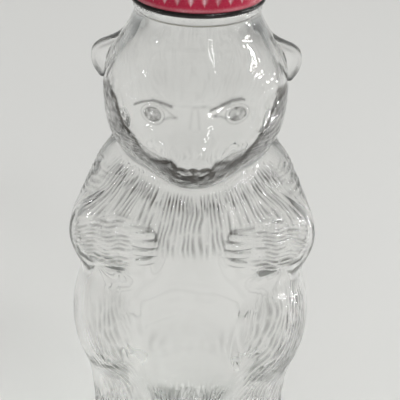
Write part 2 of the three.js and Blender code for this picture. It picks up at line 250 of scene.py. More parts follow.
half_columns = 270
height_rows = 310
lip_share = 3
front_angle = -math.pi / 2
half_angles = spread(
    front_angle,
    -front_angle,
    half_columns + 1,
    lambda a: 1 + 0.8 * hill(a, front_angle, 0.9),
)
angles = np.concatenate([half_angles, math.pi - half_angles[-2:0:-1]])
crown = finish_bottom - 2.4
heights = spread(
    heel_radius,
    crown,
    height_rows,
    lambda z: 1 + 1.3 * hill(z, head_height - 6, 14) + 0.9 * hill(z, hand_height, 9),
)
outside_heights = np.concatenate([heel_radius * np.array([0, 0.12, 0.3, 0.6]), heights])
outside_half = bear_rows(outside_heights, half_angles, 0.0)
outside_half = outside_half - edge_inset(outside_heights, heel_radius)[:, None]
outside_radius = both_sides(outside_half)

noise_size = 97
noise_table = np.random.RandomState(7).rand(noise_size, noise_size)


def chance(i, j, salt):
    """A fixed random value for each pair of whole numbers."""
    row, column = i.astype(int) * 7 + salt * 13, j.astype(int) * 5 + salt * 29
    return noise_table[row % noise_size, column % noise_size]


def soft_noise(u, v, salt):
    """Smooth noise from 0 to 1 on a plane."""
    i, j = np.floor(u), np.floor(v)
    f, g = ramp(u - i, 0, 1), ramp(v - j, 0, 1)
    near = chance(i, j, salt) * (1 - f) + chance(i + 1, j, salt) * f
    far = chance(i, j + 1, salt) * (1 - f) + chance(i + 1, j + 1, salt) * f
    return near * (1 - g) + far * g


def strands(across, along, spacing, lock_length, salt):
    """Carved hair: how high its locks stand, and the painted shade in the cuts between them, both from 0 to
    1.
    """
    sway = 1.4 * (soft_noise(across / 6, along / 10, salt) - 0.5)
    place = across / spacing + sway + 0.5 * (soft_noise(across / 2.5, along / 4, salt + 7) - 0.5)
    strand = np.floor(place)
    ridge = np.sin(math.pi * (place - strand)) ** 2
    stretch = lock_length * (0.7 + 0.6 * chance(strand, strand * 0, salt + 1))
    reach = along / stretch + chance(strand, strand * 0, salt + 2)
    lock = np.floor(reach)
    swell = np.sin(math.pi * (reach - lock)) ** 0.6
    locks = ridge * swell * (0.4 + 0.6 * chance(strand, lock, salt + 3))

    # Painted shade: strokes of random strength darken the cuts between the locks
    border = np.floor(place + 0.5)
    run = along / (0.7 * lock_length) + 4 * chance(border, border * 0, salt + 4)
    stroke = np.floor(run)
    depth = ramp(chance(border, stroke, salt + 5), 0.0, 0.5) * np.sin(math.pi * (run - stroke)) ** 0.35
    return locks, depth * (1 - ramp(np.abs(place - border), 0.1, 0.42))


def line_distance(x, z, points):
    """Distance from each point to a line of straight stretches."""
    nearest = np.full(x.shape, 1e9)
    for (x0, z0), (x1, z1) in zip(points[:-1], points[1:]):
        dx, dz = x1 - x0, z1 - z0
        share = np.clip(((x - x0) * dx + (z - z0) * dz) / (dx * dx + dz * dz), 0, 1)
        nearest = np.minimum(nearest, np.hypot(x - x0 - share * dx, z - z0 - share * dz))
    return nearest


def drawn(x, z, points, width):
    """How near a point is to a drawn line: 1 on it, falling to 0 beyond its width."""
    return np.exp(-((line_distance(x, z, points) / width) ** 2))


# Brows as drawn lines: distance from the middle and height above the head's centre, the -X side's first
left_brow = [(19.0, 2.7), (16.5, 4.1), (13.2, 5.2), (10.6, 5.0), (7.4, 4.3)]
right_brow = [(15.4, 5.6), (14.2, 6.1), (11.3, 6.0), (8.1, 4.9), (4.8, 3.7)]


def face(x, y, z, side):
    """Eyes, brows, nose and mouth of either side: how far they stand proud, and the painted shade that
    darkens them.
    """
    eye_x, eye_z = 13.2, head_height + 1.65 + 0.35 * side
    ring = np.hypot(x - eye_x, 1.35 * (z - eye_z))
    iris_radius, lid_radius = 2.75, 3.15
    lid_ring = np.exp(-(((ring - lid_radius) / 0.42) ** 4))
    iris = 1 - ramp(ring, 2.4, iris_radius)
    pupil_dome_and_glint = hill(ring, 0.0, 0.6)
    flecks = soft_noise(side * x / 0.8, z / 0.7, 61)
    relief = 0.25 * lid_ring + 0.25 * iris * flecks + 0.15 * pupil_dome_and_glint
    # Painted shade: a flecked dark iris with a lighter centre left as a painted glint, and dark rings round
    # the lid and the iris
    shade = iris * (0.25 + 0.75 * flecks) * (1 - 0.9 * pupil_dome_and_glint)
    shade += 0.4 * hill(ring, 3.7, 0.22) + 0.5 * hill(ring, 2.65, 0.25)
    off_eye = ramp(ring, 3.3, 3.9)
    low_lid = drawn(x, z - eye_z, [(10.0, -0.9), (8.0, -0.1), (5.6, 0.2)], 0.35) * off_eye
    high_lid = drawn(x, z - eye_z, [(10.9, 3.1), (8.6, 1.7), (6.2, 0.2)], 0.35) * off_eye
    relief += 0.14 * (low_lid + high_lid)
    # Painted shade along the lid lines
    shade += 0.45 * low_lid + 0.35 * high_lid
    rise = z - head_height
    brow = np.where(side < 0, drawn(x, rise, left_brow, 0.36), drawn(x, rise, right_brow, 0.36))
    thick = np.where(side < 0, drawn(x, rise, left_brow[2:], 0.5), drawn(x, rise, right_brow[1:4], 0.62))
    brow = np.maximum(brow, thick)
    relief += 0.1 * drawn(x, rise - 1.0, left_brow, 0.8) - 0.15 * brow
    # Painted shade: the brows are drawn as dark lines
    shade += 0.95 * brow
    frown = drawn(x, rise, [(6.4, 4.5), (3.6, 4.8), (0.0, 4.6)], 0.45) * soft_noise(side * x / 1.3, z, 53)
    furrow = drawn(x, rise, [(0.9, 3.5), (1.5, -0.5)], 0.5)
    relief -= 0.08 * (frown + furrow)
    # Painted shade in the frown and the furrow
    shade += 0.4 * frown + 0.15 * furrow

    nose_rise = z - nose_pad[0][2]
    forward = ramp(-y, 30, 34)
    blotch = 0.5 * soft_noise(side * x / 0.9 + 3, z / 0.8, 91)
    blotch = blotch + 0.5 * soft_noise(side * x / 2.0, z / 1.4, 93)
    pad_top = -0.2 - 0.4 * hill(x, 1.8, 0.7) - 0.9 * ramp(x, 4.4, 6.0)
    pad_bottom = -1.4
    pad = ramp(pad_top - nose_rise, -0.1, 0.35) * (1 - ramp(pad_bottom - nose_rise, 0, 0.7))
    pad = pad * (1 - ramp(x, 5.0, 6.0))
    wing_rise = nose_rise + 2.4 - 0.25 * (x - 3.0)
    wing = np.exp(-np.hypot((x - 3.0) / 1.4, wing_rise / 0.8) ** 4)
    under_wing = drawn(x, nose_rise, [(0.5, -3.2), (2.6, -3.7), (4.9, -2.8)], 0.35)
    lower = ramp(pad_bottom - nose_rise, 0.2, 0.8) * (1 - ramp(-4.5 - nose_rise, 0, 1.5))
    lower = lower * (1 - ramp(x, 5.5, 7.5))
    parting = drawn(x, nose_rise, [(0.0, -1.2), (0.0, -6.0)], 0.8)
    relief += forward * (0.3 * wing - 0.3 * (pad + lower) * blotch - 0.3 * under_wing - 0.3 * parting)
    # Painted shade: a dark blotched nose pad, a mottled muzzle below it left lighter on the wing ovals, and
    # dark lines under the wings and down the parting
    lower_painted_shade = lower * (1 - 0.5 * wing) * (0.3 + 0.6 * ramp(blotch, 0.35, 0.65))
    shade += forward * (pad * (0.8 + 0.5 * blotch) + lower_painted_shade)
    shade += forward * (0.6 * under_wing + 0.7 * parting)
    mouth_line = [(0.0, -6.0), (2.6, -7.2), (6.0, -6.8), (9.4, -4.8)]
    mouth = drawn(x, nose_rise, mouth_line, 0.5) * ramp(-y, 26, 31)
    relief -= 0.4 * mouth
    # Painted shade along the mouth
    shade += 0.7 * mouth
    return relief, shade


toe_half = 1.3

# Toes of one paw, as seen from the front: how far each tip and root lies from the middle and above the hand
toes = (
    ((11.6, 7.2), (20.0, 5.9)),
    ((9.2, 4.5), (19.0, 3.9)),
    ((8.8, 1.9), (18.0, 1.0)),
    ((9.4, -0.6), (17.0, -2.6)),
)

# Upper edge of the short hair on the cheeks and of its painted dark band: distance round from the nose, and
# height
cheek_edge = (
    (3.5, 134.2),
    (6.0, 136.5),
    (8.5, 136.6),
    (11.0, 135.1),
    (14.7, 135.1),
    (18.0, 137.2),
    (23.0, 140.0),
    (27.0, 142.2),
    (30.0, 144.6),
    (35.3, 149.2),
)

# Radii that turn an angle round the bear into a length on its skin, in front and behind
chest_reach = 34
back_reach = 36


def carving(x, y, z, angle):
    """How far the mould's carving stands proud of the plain bear, and the painted shade that darkens its
    cuts, cheeks and face.
    """
    trunk, leg, body, arm, head = bear_masses(x, y, z, True)
    turn = np.abs(np.angle(np.exp(1j * (angle - front_angle))))
    side = np.where(np.cos(angle) >= 0, 1.0, -1.0)
    reach_x = np.abs(x)
    arc = turn * chest_reach
    back_arc = (math.pi - turn) * back_reach
    on_head = ramp(body - head, -0.5, 1.5)
    on_arm = ramp(body - arm, -0.8, 0.8) * (1 - on_head)
    on_leg = ramp(trunk - leg, -3, 2) * (1 - on_arm) * (1 - on_head)
    front = 1 - ramp(turn, 1.45, 1.75)
    # Each layer of fur: its height, the share of it that is sunk, the painted shade in its cuts, its mask,
    # its locks
    fur = []

    # Chest: long locks that fan out from the throat and stop below a smooth collar, with short roots on top
    fan_top = 205.0
    chest_across = side * 90 * np.arctan2(arc, fan_top - z)
    chest_along = np.hypot(arc, fan_top - z)
    chest_low = 99 + 5 * ramp(arc, 0, 26)
    collar = 117.2 + 0.11 * arc
    bare_chest = front * (1 - on_arm) * (1 - on_head) * (1 - ramp(arc, 35, 45))
    chest_mask = (1 - ramp(z, collar, collar + 1.2)) * ramp(z, chest_low - 2.5, chest_low + 3) * bare_chest
    fur.append((0.7, 0.4, 0.68, chest_mask, strands(chest_across, chest_along, 1.5, 12, 3)))
    root_mask = hill(z, collar - 2.6, 1.8) * bare_chest
    fur.append((0.3, 0.4, 0.8, root_mask, strands(chest_across + 0.4, chest_along, 1.3, 4, 47)))

    # Shoulders: short cuts across the outer edge
    shoulder_mask = hill(turn, 1.5, 0.32) * ramp(z, 106, 111) * (1 - ramp(z, 119, 122)) * (1 - on_head)
    fur.append((0.6, 0.6, 0.8, shoulder_mask, strands(z, side * arc, 1.8, 9, 43)))

    # Back: rows of long locks from the nape to the seat, round a smooth oval panel
    back_across = side * 60 * np.arctan2(back_arc, 190 - z)
    back_panel = np.hypot(back_arc / 24, (z - 60) / 40)
    back_mask = ramp(turn, 1.9, 2.2) * ramp(back_panel, 0.95, 1.1) * (1 - on_head)
    back_mask = back_mask * ramp(z, 14, 24) * (1 - ramp(z, 104, 116))
    fur.append((0.35, 1.0, 0.25, back_mask, strands(back_across, 190 - z, 2.0, 16, 11)))

    # Thighs: locks that lean towards the middle as they fall; on the +X side they reach further out
    lean = math.radians(20)
    thigh_across = side * (arc * math.cos(lean) - z * math.sin(lean))
    thigh_along = arc * math.sin(lean) + z * math.cos(lean)
    thigh_mask = on_leg * ramp(z, 30, 42) * (1 - ramp(z, 74, 84)) * ramp(arc, 16, 22)
    thigh_edge = 35 + 6 * side
    thigh_mask = thigh_mask * front * (1 - ramp(arc, thigh_edge - 5, thigh_edge + 4))
    fur.append((0.55, 0.4, 0.65, thigh_mask, strands(thigh_across, thigh_along, 1.5, 9, 17)))

    # Lower legs: upright locks
    skirt_top = 54 - 12 * ramp(arc, 9, 20)
    skirt_mask = ramp(z, 12, 18) * (1 - ramp(z, skirt_top - 12, skirt_top)) * front
    skirt_mask = skirt_mask * (1 - 0.8 * ramp(arc, 38, 50))
    fur.append((0.35, 0.4, 0.45, skirt_mask, strands(side * arc, z, 1.6, 12, 23)))

    # Forearms: wavy locks along the arm
    arm_across = 0.3 * reach_x + 0.95 * z + 0.35 * np.sin(reach_x / 1.4)
    arm_along = 0.95 * reach_x - 0.3 * z
    on_toes = ramp(body - arm, -2.5, -0.5) * (1 - on_head) * (1 - ramp(reach_x, 18, 22)) * ramp(-y, 22, 26)
    arm_mask = on_arm * (1 - on_toes) * (1 - ramp(arc, 34, 43))
    fur.append((0.5, 0.4, 0.75, arm_mask, strands(arm_across, side * arm_along, 1.4, 8, 29)))

    # Cheeks and scalp: short hair below a line from the eye to the mouth, and behind the ears
    cheek_along = np.hypot(arc, z - 137)
    cheek_across = side * 24 * np.arctan2(arc, z - 137)
    ragged = 1.2 * (soft_noise(side * arc / 2.2, z / 6, 67) - 0.5)
    cheek_line = np.interp(arc, *zip(*cheek_edge)) + ragged
    cheek_mask = on_head * ramp(cheek_line - z, 0, 1.8) * ramp(arc, 3.4, 5.2) * front
    fur.append((0.15, 0.5, 0.2, cheek_mask, strands(cheek_across, cheek_along, 1.3, 5, 31)))
    scalp_mask = 0.6 * on_head * ramp(turn, 1.75, 2.2) * (1 - ramp(z, 158, 164))
    fur.append((0.15, 1.0, 0.2, scalp_mask, strands(side * arc, z, 1.9, 12, 37)))

    relief = np.zeros(x.shape)
    # Painted shade: a dark mottled band on the cheeks and chin, darkest just below its upper edge and
    # lighter lower down, and a faint grey over the chest fur
    chin_shade_mask = on_head * (1 - ramp(arc, 3.4, 5.2)) * ramp(nose_pad[0][2] - 4.0 - z, 0, 2)
    mottled = 0.55 * soft_noise(side * arc / 1.6, z / 1.2, 71)
    mottled = mottled + 0.45 * soft_noise(side * arc / 4, z / 3, 73)
    below_edge = cheek_line - z
    cheek_painted_shade = 0.25 + 0.85 * mottled + 0.35 * hill(below_edge, 1.6, 1.2) - 0.2 * ramp(below_edge, 4, 10)
    shade = 0.05 * chest_mask + cheek_mask * cheek_painted_shade + chin_shade_mask * (0.2 + 0.8 * mottled)
    for height, sunk, painted_shade_weight, mask, (locks, cuts) in fur:
        relief += height * mask * (locks - sunk)
        shade += painted_shade_weight * mask * cuts

    # Seat: two soft folds across the lower back
    folds = drawn(reach_x, z, [(0, 46), (15, 45.5), (20, 42), (22, 36)], 1.7)
    folds += drawn(x, z, [(-18, 31), (-6, 33), (8, 30), (18, 25)], 1.7)
    relief -= 0.6 * folds * ramp(turn, 2.0, 2.3)

    # Paws: four rounded toes that point to the middle, a shorter one on top
    toe_gap = np.full(x.shape, 9.0)
    for (tip_x, tip_rise), (root_x, root_rise) in toes:
        toe_line = [(tip_x + toe_half, hand_height + tip_rise), (root_x, hand_height + root_rise)]
        toe_gap = np.minimum(toe_gap, line_distance(reach_x, z, toe_line))
    toe_round = np.sqrt(np.maximum(1 - (toe_gap / toe_half) ** 2, 0))
    paw_line = [(13.0, hand_height + 9.3), (20.0, hand_height + 8.8)]
    paw_top_shade = drawn(reach_x, z, paw_line, 0.5) * ramp(-y, 22, 26)
    relief += 1.2 * on_toes * toe_round
    # Painted shade: dark lines between the toes and along the top of the paw
    between_toes_shade = hill(toe_gap, 1.05 * toe_half, 0.35) * (1 - ramp(reach_x, 13, 19))
    shade += on_toes * between_toes_shade + 0.6 * paw_top_shade

    # The mould's skin is a little uneven on the head
    small_dents = 0.1 * soft_noise(side * arc / 2.6 + 11, z / 2.6, 97)
    wide_dents = 0.2 * soft_noise(side * arc / 7, z / 7, 19)
    relief += (small_dents + wide_dents - 0.25) * on_head * front

    face_relief, face_shade = face(reach_x, y, z, side)
    relief += face_relief * front * on_head
    shade += face_shade * front * on_head
    seam = hill(y, 3.0, 0.35) * ramp(turn, 1.2, 1.4) * (1 - ramp(turn, 1.75, 1.95))
    relief += 0.12 * seam * (1 - ramp(reach_x, 38, 40))
    return relief, np.clip(shade, 0, 1)


def ring_points(radius, heights_here, angles_here):
    x = radius * np.cos(angles_here)[None, :]
    y = radius * np.sin(angles_here)[None, :]
    z = np.broadcast_to(heights_here[:, None], radius.shape)
    return np.stack([x, y, z], axis=-1)


def outward(points):
    """Unit normals of a grid of rings."""
    round_step = np.roll(points, -1, axis=1) - np.roll(points, 1, axis=1)
    up_step = np.gradient(points, axis=0)
    normal = np.cross(round_step, up_step)
    return normal / np.maximum(np.linalg.norm(normal, axis=-1, keepdims=True), 1e-9)


def round_ring(radius, z, angles_here):
    level = np.full(len(angles_here), z)
    return np.stack([radius * np.cos(angles_here), radius * np.sin(angles_here), level], axis=-1)


def strip_faces(low_start, low_count, high_start, high_count):
    """Faces between two rings; one ring may have a whole share of the other's points, or a single point."""
    count = max(low_count, high_count)
    i = np.arange(count)
    j = (i + 1) % count
    if low_count == high_count:
        return np.stack([low_start + i, low_start + j, high_start + j, high_start + i], axis=1).tolist()
    if low_count == 1:
        return [[low_start, high_start + b, high_start + a] for a, b in zip(i.tolist(), j.tolist())]
    if high_count == 1:
        return [[low_start + a, low_start + b, high_start] for a, b in zip(i.tolist(), j.tolist())]
    few = min(low_count, high_count)
    share = count // few
    faces = []
    for k in range(few):
        many = [(k * share + s) % count for s in range(share + 1)]
        if low_count > high_count:
            edge = [low_start + m for m in many]
            faces.append(edge + [high_start + (k + 1) % few, high_start + k])
        else:
            edge = [high_start + m for m in reversed(many)]
            faces.append([low_start + k, low_start + (k + 1) % few] + edge)
    return faces


def ring_mesh(name, rings, wear_and_painted_light=None):
    """A closed mesh over a stack of rings from one point to another, with a value for each point that holds
    painted shade on the glass, and wear and painted highlight on the cap.
    """
    starts = np.cumsum([0] + [len(ring) for ring in rings]).tolist()
    faces = []
    for k in range(len(rings) - 1):
        faces.extend(strip_faces(starts[k], len(rings[k]), starts[k + 1], len(rings[k + 1])))
    mesh = bpy.data.meshes.new(name)
    mesh.from_pydata((np.concatenate(rings) * MM).tolist(), [], faces)
    mesh.update()
    mesh.shade_smooth()
    if wear_and_painted_light is not None:
        mesh.attributes.new("wear_and_painted_light", "FLOAT", "POINT").data.foreach_set("value", wear_and_painted_light)
    piece = bpy.data.objects.new(name, mesh)
    bpy.context.collection.objects.link(piece)
    return piece


plain = ring_points(outside_radius, outside_heights, angles)
whole_angles = np.broadcast_to(angles, outside_radius.shape)
relief, painted_shade_field = carving(plain[..., 0], plain[..., 1], plain[..., 2], whole_angles)
relief = relief * ramp(outside_heights, 3, 8)[:, None]
carved = plain + outward(plain) * relief[..., None]

bore_angles = angles[::lip_share]
push_up_radius = outside_radius[0].min() - bearing_width
bottle_rings = [np.array([[0, 0, push_up_depth]])]
for share in (0.3, 0.6, 0.85, 0.97, 1.0):
    bottle_rings.append(round_ring(push_up_radius * share, push_up_depth * (1 - share**4), bore_angles))
points_below = sum(len(ring) for ring in bottle_rings)
bottle_rings.extend(carved)

mouth_profile = [
    (neck_radius, finish_bottom - 0.4),
    (neck_radius - 0.05, finish_bottom - 0.1),
    (neck_radius + 0.15, finish_bottom + 0.1),
]
for step in np.linspace(-1, 1, 15):
    bulge = (1 - step**4) * (bead_radius - neck_radius - 0.3)
    rise = (bead_height - 0.35) * (step + 1) / 2
    mouth_profile.append((neck_radius + 0.3 + bulge, finish_bottom + 0.25 + rise))
mouth_profile.append((finish_radius + 0.3, bead_top))
mouth_profile.append((finish_radius + 0.08, bead_top + 0.2))
mouth_profile.extend((finish_radius, z) for z in np.linspace(bead_top + 0.45, lip_top - lip_radius, 44))
for bend in np.radians([20, 45, 70, 90]):
    inset = lip_radius * (1 - math.cos(bend))
    mouth_profile.append((finish_radius - inset, lip_top - lip_radius * (1 - math.sin(bend))))


def thread_height(angles_here, z, start_height, start_angle, turns, run_in):
    """Share of a screw thread's height at each angle, from 0 beside it to 1 on its crest."""
    whole_turn = 2 * math.pi
    total = turns * whole_turn
    height = np.zeros(len(angles_here))
    for lap in range(2):
        wound = np.mod(angles_here - start_angle, whole_turn) + lap * whole_turn
        off = np.abs(z - start_height - thread_pitch * wound / whole_turn)
        ends = ramp(wound, 0, run_in) * (1 - ramp(wound, total - run_in, total))
        height = np.maximum(height, ends * (1 - ramp(off, 0.18 * thread_width, 0.62 * thread_width)))
    return height


for radius, z in mouth_profile:
    ridge = thread_depth * thread_height(angles, z, thread_start, 0.0, thread_turns, 0.5)
    bottle_rings.append(round_ring(radius + ridge, z, angles))
bottle_rings.append(round_ring(bore_radius + lip_radius, lip_top, bore_angles))
for bend in np.radians([30, 60, 90]):
    drop = lip_radius * (1 - math.cos(bend))
    inset = lip_radius * (1 - math.sin(bend))
    bottle_rings.append(round_ring(bore_radius + inset, lip_top - drop, bore_angles))

inside_top = finish_bottom - 3 * wall_thickness
inside_heights = np.concatenate([
    np.linspace(inside_top, base_thickness + floor_radius, 110),
    base_thickness + floor_radius * np.array([0.6, 0.3, 0.1, 0]),
])
inside_half = bear_rows(inside_heights, half_angles[::lip_share], wall_thickness)
inside_half = inside_half - edge_inset(inside_heights - base_thickness, floor_radius)[:, None]
inside_radius = both_sides(inside_half)
bore_turns = np.broadcast_to(bore_angles, inside_radius.shape)
level = np.broadcast_to(inside_heights[:, None], inside_radius.shape)
wave_x = 4 + 3 * np.cos(bore_turns) + level / 26
wave_y = 4 + 3 * np.sin(bore_turns) + level / 40
waviness = soft_noise(wave_x, wave_y, 5) - 0.5
inside_radius = inside_radius + 0.5 * waviness * ramp(inside_top - level, 0, 8)
throat_drop = inside_top - finish_bottom
inside_step = inside_heights[1] - inside_heights[0]
inside_slope = (inside_radius[1] - inside_radius[0]) / inside_step * throat_drop
for share in np.linspace(0.1, 0.9, 9):
    widening = (inside_radius[0] - bore_radius) * (3 * share**2 - 2 * share**3)
    throat = bore_radius + widening + inside_slope * (share**3 - share**2)
    bottle_rings.append(round_ring(throat, finish_bottom + throat_drop * share, bore_angles))
bottle_rings.extend(ring_points(inside_radius, inside_heights, bore_angles))
for share in (0.7, 0.4):
    crown_rise = push_up_depth * 0.5 * (1 - share**2)
    bottle_rings.append(round_ring(push_up_radius * share, base_thickness + crown_rise, bore_angles))
bottle_rings.append(np.array([[0, 0, base_thickness + push_up_depth * 0.5]]))
# Painted shade from the carving, one value for each point of the outer skin; the base and the inside have
# none
painted_shade_per_point = np.zeros(sum(len(ring) for ring in bottle_rings))
painted_shade_per_point[points_below:points_below + painted_shade_field.size] = painted_shade_field.ravel()
glass_bear = ring_mesh("glass_bear", bottle_rings, painted_shade_per_point)

# Ears: flat flanges of glass, moulded with the head. The outline gives distances from the middle and
# heights above the head's centre, and its inner end runs up inside the head's wall.
ear_back = 5.2
ear_thickness = 4.4
ear_edge = 1.4
ear_hollow = 0.9
ear_outline = [
    (22.2, 19.8),
    (25.6, 16.7),
    (28.9, 15.0),
    (32.0, 13.6),
    (34.2, 11.4),
    (34.6, 8.4),
    (33.9, 5.4),
    (32.7, 3.2),
    (31.2, 1.5),
    (29.6, 2.4),
    (29.0, 6.5),
    (27.6, 11.0),
    (25.4, 14.8),
]


def smooth_loop(points, steps):
    """A closed curve through points, with a number of steps between each pair."""
    points = np.array(points, float)
    before, after, beyond = np.roll(points, 1, 0), np.roll(points, -1, 0), np.roll(points, -2, 0)
    shares = np.arange(steps)[None, :, None] / steps
    p0, p1, p2, p3 = (p[:, None, :] for p in (before, points, after, beyond))
    bend = 2 * p0 - 5 * p1 + 4 * p2 - p3
    twist = -p0 + 3 * p1 - 3 * p2 + p3
    curve = 0.5 * (2 * p1 + (p2 - p0) * shares + bend * shares**2 + twist * shares**3)
    return curve.reshape(-1, 2)


def ear_flange(side):
    """A flat ear with a rounded rim and a shallow hollow in front; its root lies inside the head's wall,
    and its rim is darkened with painted shade.
    """
    loop = smooth_loop(ear_outline, 8)
    middle = loop.mean(axis=0)
    size = np.abs(loop - middle).max()
    layers = [(0.0, -ear_hollow), (0.35, -ear_hollow), (0.6, -0.6 * ear_hollow), (0.74, 0.0)]
    for bend in np.radians([0, 30, 60, 90]):
        layers.append((1 - ear_edge / size * (1 - math.sin(bend)), ear_edge * (math.cos(bend) - 1)))
    back_edge = [(share, -ear_thickness - depth) for share, depth in reversed(layers[4:])]
    layers += back_edge + [(0.5, -ear_thickness), (0.0, -ear_thickness)]
    rings, wear_and_painted_light = [], []
    for share, depth in layers:
        flat = middle + (loop - middle) * share if share > 0 else middle[None, :]
        y = np.full(len(flat), ear_back - ear_thickness - depth)
        rings.append(np.stack([side * flat[:, 0], y, head_height + flat[:, 1]], axis=-1))
        # Painted shade on the rim, darkest along its top and its lower end
        top_share, low_share = ramp(flat[:, 1], 10.5, 13.5), 1 - ramp(flat[:, 1], 3.5, 7.5)
        wear_and_painted_light.append(ramp(share, 0.8, 0.97) * (0.25 + 0.5 * top_share + 0.5 * low_share))
    if side < 0:
        rings, wear_and_painted_light = rings[::-1], wear_and_painted_light[::-1]
    return ring_mesh("ear", rings, np.concatenate(wear_and_painted_light))


def fuse(piece, other):
    """Joins another closed mesh into a piece and removes the other."""
    join = piece.modifiers.new("join", "BOOLEAN")
    join.operation = "UNION"
    join.solver = "MANIFOLD"
    join.object = other
    joined = bpy.data.meshes.new_from_object(piece.evaluated_get(bpy.context.evaluated_depsgraph_get()))
    piece.modifiers.clear()
    piece.data = joined
    bpy.data.objects.remove(other)


for side in (1, -1):
    fuse(glass_bear, ear_flange(side))


def new_material(name):
    made = bpy.data.materials.new(name)
    made.use_nodes = True
    nodes = made.node_tree.nodes
    return made, nodes, made.node_tree.links, nodes["Principled BSDF"]


glass, nodes, links, shader = new_material("clear_glass")
glass_clear = (0.99, 0.99, 0.985, 1)
painted_shade_dark = (0.022, 0.019, 0.016, 1)
shadow_tone = (0.86, 0.87, 0.865, 1)
depth_tone = (0.82, 0.82, 0.81, 1)
# The glass colour runs from clear to near black with the painted shade of the carving
cuts = nodes.new("ShaderNodeAttribute")
cuts.attribute_name = "wear_and_painted_light"
painted_shade_ramp = nodes.new("ShaderNodeValToRGB")
painted_shade_ramp.color_ramp.elements[0].color = glass_clear
painted_shade_ramp.color_ramp.elements[1].color = painted_shade_dark
links.new(cuts.outputs["Fac"], painted_shade_ramp.inputs["Fac"])
links.new(painted_shade_ramp.outputs["Color"], shader.inputs["Base Color"])
shader.inputs["Transmission Weight"].default_value = 1.0
shader.inputs["IOR"].default_value = 1.5
shader.inputs["Roughness"].default_value = 0.0
rays = nodes.new("ShaderNodeLightPath")
let_through = nodes.new("ShaderNodeBsdfTransparent")
let_through.inputs["Color"].default_value = shadow_tone
either = nodes.new("ShaderNodeMixShader")
links.new(rays.outputs["Is Shadow Ray"], either.inputs["Fac"])
links.new(shader.outputs["BSDF"], either.inputs[1])
links.new(let_through.outputs["BSDF"], either.inputs[2])
links.new(either.outputs["Shader"], nodes["Material Output"].inputs["Surface"])
absorb = nodes.new("ShaderNodeVolumeAbsorption")
absorb.inputs["Color"].default_value = depth_tone
absorb.inputs["Density"].default_value = 4.0
links.new(absorb.outputs["Volume"], nodes["Material Output"].inputs["Volume"])
glass_bear.data.materials.clear()
glass_bear.data.materials.append(glass)
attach(glass_bear, "bottle")
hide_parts("glass_bottle")


# Cap: a screw cap pressed from thin tin sheet, lacquered red outside, with grooves for the fingers painted
# pale as wear and as painted highlight. Its rim is rolled into a dark curl whose colour runs a little up
# the skirt as painted shade, and a thread rolled into the skirt takes the thread of the glass.

cap_low, cap_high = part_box("cap_shell")
rim_bottom = cap_low.z / MM
cap_top = cap_high.z / MM
curl_radius = cap_high.x / MM
skirt_radius = curl_radius - 0.15
cap_inner_radius = finish_radius + thread_depth + 0.25
curl_height = 1.4
band_top = rim_bottom + curl_height + 2.2
groove_count = 32
groove_depth = 0.45
groove_half_width = 0.15
groove_point = 1.9
band_bulge = 0.3
top_corner = 1.3
panel_bead = 2.3
panel_step = 0.35
cap_thread_depth = 0.9
panel_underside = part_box("liner_board")[1].z / MM + 0.08
cap_angles = np.linspace(0, 2 * math.pi, groove_count * 20, endpoint=False)
cap_bore_angles = cap_angles[::4]
groove_place = cap_angles * groove_count / (2 * math.pi)
groove_number = np.floor(groove_place)
off_groove = np.abs(groove_place - groove_number - 0.5)
# How strongly each groove is painted pale, as wear and as painted highlight
groove_wear_and_sheen = 0.35 + 0.65 * chance(groove_number, groove_number * 0, 83)

cap_rings = [np.array([[0, 0, panel_underside]])]
for radius in (8.0, 15.0, 19.0, cap_inner_radius - 0.5):
    cap_rings.append(round_ring(radius, panel_underside, cap_bore_angles))
for z in np.linspace(panel_underside - 0.5, rim_bottom + curl_height, 50):
    ridge = cap_thread_depth * thread_height(cap_bore_angles, z, thread_start, math.pi, 1.0, 0.4)
    cap_rings.append(round_ring(cap_inner_radius - ridge, z, cap_bore_angles))
inside_points = sum(len(ring) for ring in cap_rings)

curl_half_width = (curl_radius - cap_inner_radius) / 2
curl_half_height = curl_height / 2
for bend in np.radians(np.arange(0, 251, 25)):
    radius = cap_inner_radius + curl_half_width * (1 - math.cos(bend))
    cap_rings.append(round_ring(radius, rim_bottom + curl_half_height * (1 - math.sin(bend)), cap_angles))

skirt_bottom = rim_bottom + curl_height + 0.1
skirt_profile = [(skirt_radius - 0.4, skirt_bottom), (skirt_radius - 0.25, skirt_bottom + 0.12)]
for z in np.linspace(skirt_bottom + 0.3, band_top - 0.3, 9):
    bulge = hill(z, (skirt_bottom + band_top) / 2, 1.0) - 0.75
    skirt_profile.append((skirt_radius + band_bulge * bulge, z))
skirt_profile += [(skirt_radius - 0.1, z) for z in np.linspace(band_top, cap_top - top_corner, 34)]
pale_wear_and_sheen = np.zeros(sum(len(ring) for ring in cap_rings))
for radius, z in skirt_profile:
    width = groove_half_width * max(ramp(z, band_top - 0.2, band_top + groove_point), 0.02)
    ends = ramp(z, band_top - 0.2, band_top + 0.8) * (1 - ramp(z, cap_top - 2.4, cap_top - 0.9))
    groove = np.exp(-((off_groove / width) ** 2)) * ends
    cap_rings.append(round_ring(radius - groove_depth * groove, z, cap_angles))
    # A pale line round the crest of the band's bulge is a painted highlight
    crest = 0.16 * hill(z, band_top - 1.2, 0.6) * (0.5 + soft_noise(groove_place, groove_place * 0, 87))
    pale_wear_and_sheen = np.concatenate([pale_wear_and_sheen, groove * groove_wear_and_sheen + crest])
top_marks = []
for bend in np.radians([15, 30, 45, 60, 75, 90]):
    radius = skirt_radius - top_corner * (1 - math.cos(bend))
    cap_rings.append(round_ring(radius, cap_top - top_corner * (1 - math.sin(bend)), cap_angles))
    top_marks.append(hill(bend, math.radians(40), 0.5))
panel_edge = skirt_radius - top_corner - panel_bead
panel_profile = (
    (0.6, 0.0),
    (panel_bead - 0.2, 0.0),
    (panel_bead + 0.1, 0.1),
    (panel_bead + 0.5, 0.75),
    (panel_bead + 0.9, 1.0),
)
